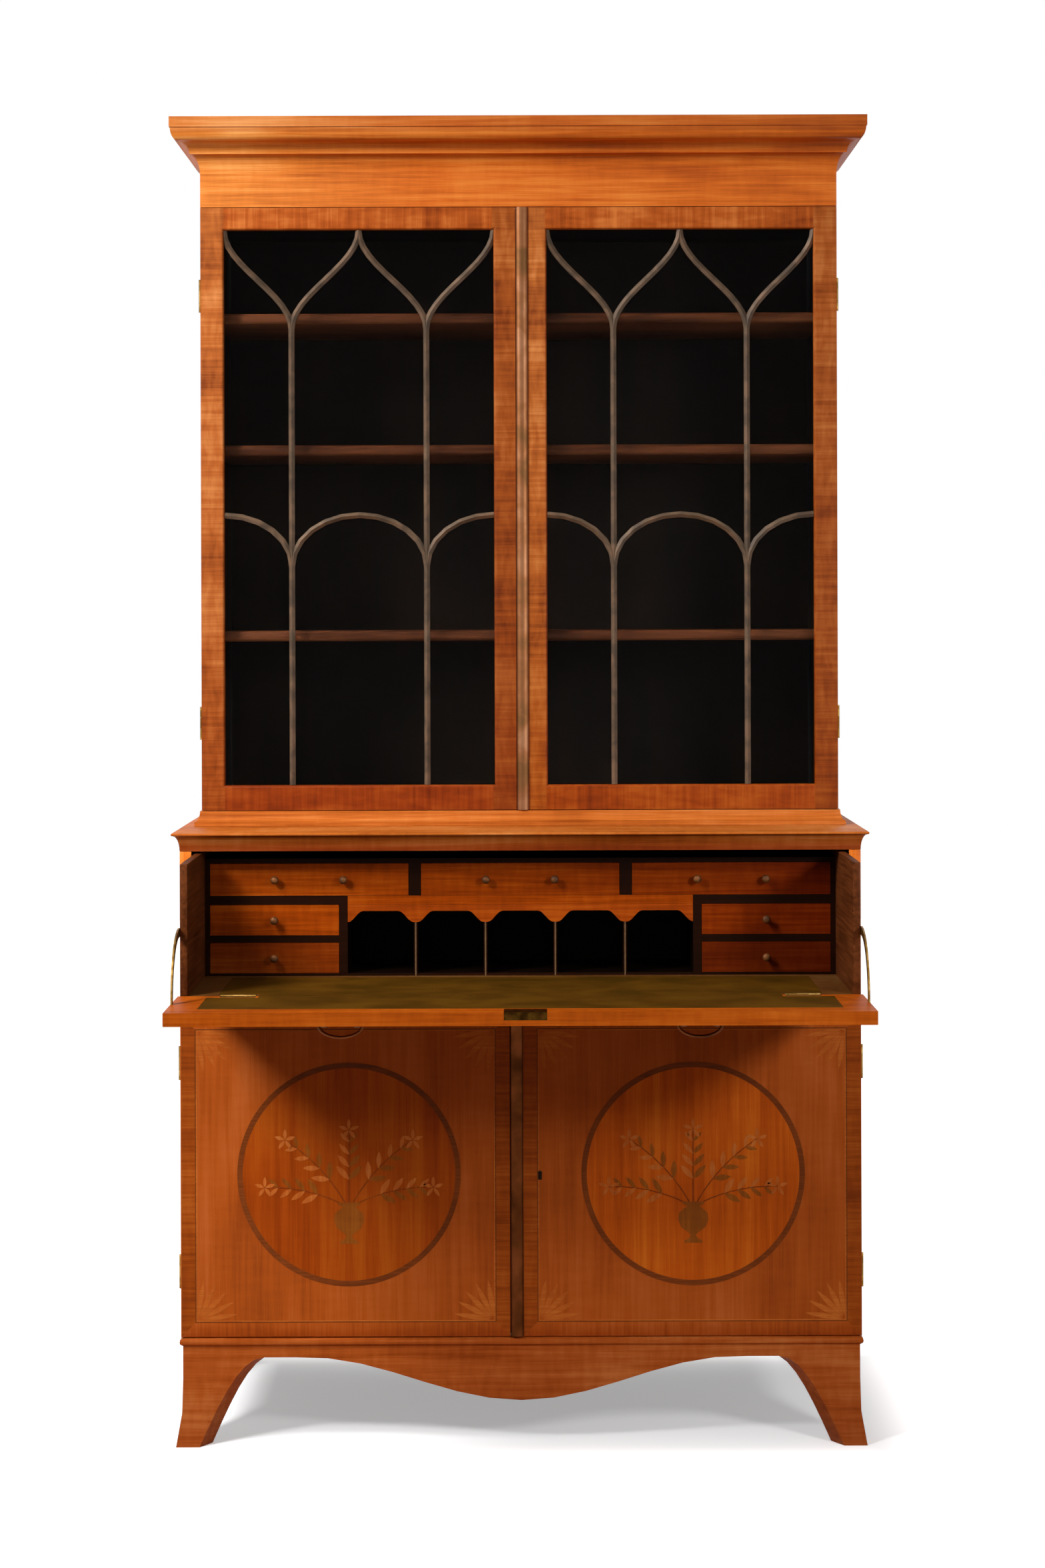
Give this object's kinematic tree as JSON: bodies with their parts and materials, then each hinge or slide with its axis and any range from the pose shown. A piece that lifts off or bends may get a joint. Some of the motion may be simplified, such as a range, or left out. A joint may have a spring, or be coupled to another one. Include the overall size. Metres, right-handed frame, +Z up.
{
  "type": "secretary bookcase",
  "caption": "Satinwood secretaire bookcase: glazed upper case with arched glazing bars, writing drawer with hinged fall and nest of small drawers, cupboard below on splayed feet.",
  "frame": {"origin": "on the floor under the middle of the object's box, with the writing drawer pulled out and its fall lowered as in the picture", "axes": "+X to the right of someone facing the case, +Y to the back, +Z up"},
  "size_m": [1.197, 0.9732, 2.2451],
  "materials": {
    "satinwood": "polished orange satinwood veneer",
    "mahogany": "oiled mahogany carcass wood",
    "brass": "aged brass",
    "aged_brass": "dull brown brass",
    "dark_iron": "dark lock steel",
    "gilt_bar": "worn gilt on brass",
    "glass": "clear old sheet glass",
    "green_lining": "worn olive green skiver"
  },
  "bodies": {
    "carcass": {"base_side_left": "satinwood", "base_side_right": "satinwood", "base_bottom": "mahogany", "base_back": "mahogany", "drawer_dustboard": "satinwood", "base_top": "satinwood", "plinth_front": "satinwood", "plinth_left": "satinwood", "plinth_right": "satinwood", "upper_side_left": "satinwood", "upper_side_right": "satinwood", "upper_bottom": "mahogany", "upper_top": "mahogany", "upper_back": "mahogany", "shelf_lower": "mahogany", "shelf_middle": "mahogany", "shelf_upper": "mahogany", "waist_moulding": "satinwood", "cornice": "satinwood", "cupboard_hinge_left_low": "brass", "cupboard_hinge_left_top": "brass", "cupboard_hinge_right_low": "brass", "cupboard_hinge_right_top": "brass", "glazed_hinge_left_low": "brass", "glazed_hinge_left_top": "brass", "glazed_hinge_right_low": "brass", "glazed_hinge_right_top": "brass"},
    "glazed_door_left": {"glazed_door_left": "satinwood", "glazing_bars_left": "gilt_bar", "glass_left": "glass"},
    "glazed_door_right": {"glazed_door_right": "satinwood", "glazing_bars_right": "gilt_bar", "glass_right": "glass", "glazed_astragal": "aged_brass"},
    "cupboard_door_left": {"cupboard_door_left": "satinwood"},
    "cupboard_door_right": {"cupboard_door_right": "satinwood", "cupboard_astragal": "aged_brass"},
    "writing_drawer": {"drawer_side_left": "mahogany", "drawer_side_right": "mahogany", "drawer_bottom": "satinwood", "drawer_back": "mahogany", "nest_frame": "satinwood", "pigeonhole_valance": "satinwood", "bed_lining": "green_lining", "fall_hinge_left": "brass", "fall_hinge_right": "brass"},
    "fall": {"fall_front": "satinwood", "writing_lining": "green_lining", "fall_lock": "dark_iron", "quadrant_stay_left": "brass", "quadrant_stay_right": "brass"},
    "bail_left": {"bail_left": "brass"},
    "bail_right": {"bail_right": "brass"},
    "small_drawer_top_left": {"small_drawer_top_left": "satinwood"},
    "small_drawer_top_middle": {"small_drawer_top_middle": "satinwood"},
    "small_drawer_top_right": {"small_drawer_top_right": "satinwood"},
    "small_drawer_left_upper": {"small_drawer_left_upper": "satinwood"},
    "small_drawer_left_lower": {"small_drawer_left_lower": "satinwood"},
    "small_drawer_right_upper": {"small_drawer_right_upper": "satinwood"},
    "small_drawer_right_lower": {"small_drawer_right_lower": "satinwood"}
  },
  "joints": [
    {"name": "glazed_door_left_hinge", "type": "hinge", "parent": "carcass", "child": "glazed_door_left", "pos_m": [-0.5527, 0.13945, 1.5734], "axis": [0, 0, -1], "range_deg": [0, 170]},
    {"name": "glazed_door_right_hinge", "type": "hinge", "parent": "carcass", "child": "glazed_door_right", "pos_m": [0.5527, 0.13945, 1.5734], "axis": [0, 0, 1], "range_deg": [0, 170]},
    {"name": "cupboard_door_left_hinge", "type": "hinge", "parent": "carcass", "child": "cupboard_door_left", "pos_m": [-0.5727, -0.03055, 0.452], "axis": [0, 0, -1], "range_deg": [0, 170]},
    {"name": "cupboard_door_right_hinge", "type": "hinge", "parent": "carcass", "child": "cupboard_door_right", "pos_m": [0.5727, -0.03055, 0.452], "axis": [0, 0, 1], "range_deg": [0, 170]},
    {"name": "writing_drawer_slide", "type": "slide", "parent": "carcass", "child": "writing_drawer", "axis": [0, -1, 0], "range_m": [-0.241, 0]},
    {"name": "fall_hinge", "type": "hinge", "parent": "writing_drawer", "child": "fall", "pos_m": [0, -0.27335, 0.78], "axis": [1, 0, 0], "range_deg": [-90, 0]},
    {"name": "bail_left_pivot", "type": "hinge", "parent": "fall", "child": "bail_left", "pos_m": [-0.282, -0.38, 0.7498], "axis": [-1, 0, 0], "range_deg": [-85, 85]},
    {"name": "bail_right_pivot", "type": "hinge", "parent": "fall", "child": "bail_right", "pos_m": [0.282, -0.38, 0.7498], "axis": [-1, 0, 0], "range_deg": [-85, 85]},
    {"name": "small_drawer_top_left_slide", "type": "slide", "parent": "writing_drawer", "child": "small_drawer_top_left", "axis": [0, -1, 0], "range_m": [0, 0.14]},
    {"name": "small_drawer_top_middle_slide", "type": "slide", "parent": "writing_drawer", "child": "small_drawer_top_middle", "axis": [0, -1, 0], "range_m": [0, 0.14]},
    {"name": "small_drawer_top_right_slide", "type": "slide", "parent": "writing_drawer", "child": "small_drawer_top_right", "axis": [0, -1, 0], "range_m": [0, 0.14]},
    {"name": "small_drawer_left_upper_slide", "type": "slide", "parent": "writing_drawer", "child": "small_drawer_left_upper", "axis": [0, -1, 0], "range_m": [0, 0.14]},
    {"name": "small_drawer_left_lower_slide", "type": "slide", "parent": "writing_drawer", "child": "small_drawer_left_lower", "axis": [0, -1, 0], "range_m": [0, 0.14]},
    {"name": "small_drawer_right_upper_slide", "type": "slide", "parent": "writing_drawer", "child": "small_drawer_right_upper", "axis": [0, -1, 0], "range_m": [0, 0.14]},
    {"name": "small_drawer_right_lower_slide", "type": "slide", "parent": "writing_drawer", "child": "small_drawer_right_lower", "axis": [0, -1, 0], "range_m": [0, 0.14]}
  ]
}
